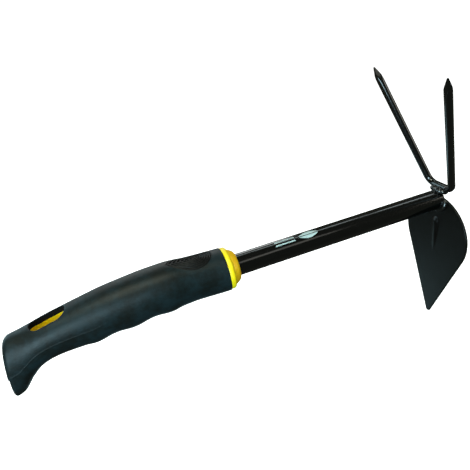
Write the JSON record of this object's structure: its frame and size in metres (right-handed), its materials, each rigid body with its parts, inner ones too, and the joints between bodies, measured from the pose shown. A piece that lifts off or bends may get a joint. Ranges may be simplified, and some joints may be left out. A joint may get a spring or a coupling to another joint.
{
  "type": "combination hoe",
  "caption": "One-hand combination hoe with a heart-shaped blade opposite a two-tine fork, a steel tube and a soft-touch grip with a hook and hanging slot.",
  "frame": {"origin": "centre of the hanging slot at the height of the tube axis", "axes": "+X along the tube to the head, +Z to the tines, -Z to the blade, +Y to the left when the blade points down and the head is ahead"},
  "size_m": [0.3483, 0.0754, 0.2184],
  "materials": {
    "black_gloss": "gloss black powder coat on steel",
    "black_satin": "satin black powder coat on sheet steel",
    "weld_black": "rippled weld metal under gloss black paint",
    "yellow_plastic": "moulded polypropylene, yellow",
    "grip_rubber": "matte thermoplastic rubber, dark blue-green grey",
    "pad_rubber": "ribbed matte rubber, near black",
    "plug_plastic": "plain polyethylene plug, hidden in the tube",
    "pin_steel": "plain steel pin, hidden in the grip"
  },
  "bodies": {
    "root": {"tube": "black_gloss", "tube_plug": "plug_plastic", "lock_pin": "pin_steel", "blade": "black_satin", "fork": "black_gloss", "blade_weld": "weld_black", "fork_weld": "weld_black", "grip_core": "yellow_plastic", "grip_sleeve": "grip_rubber", "thumb_pad": "pad_rubber"}
  },
  "joints": []
}
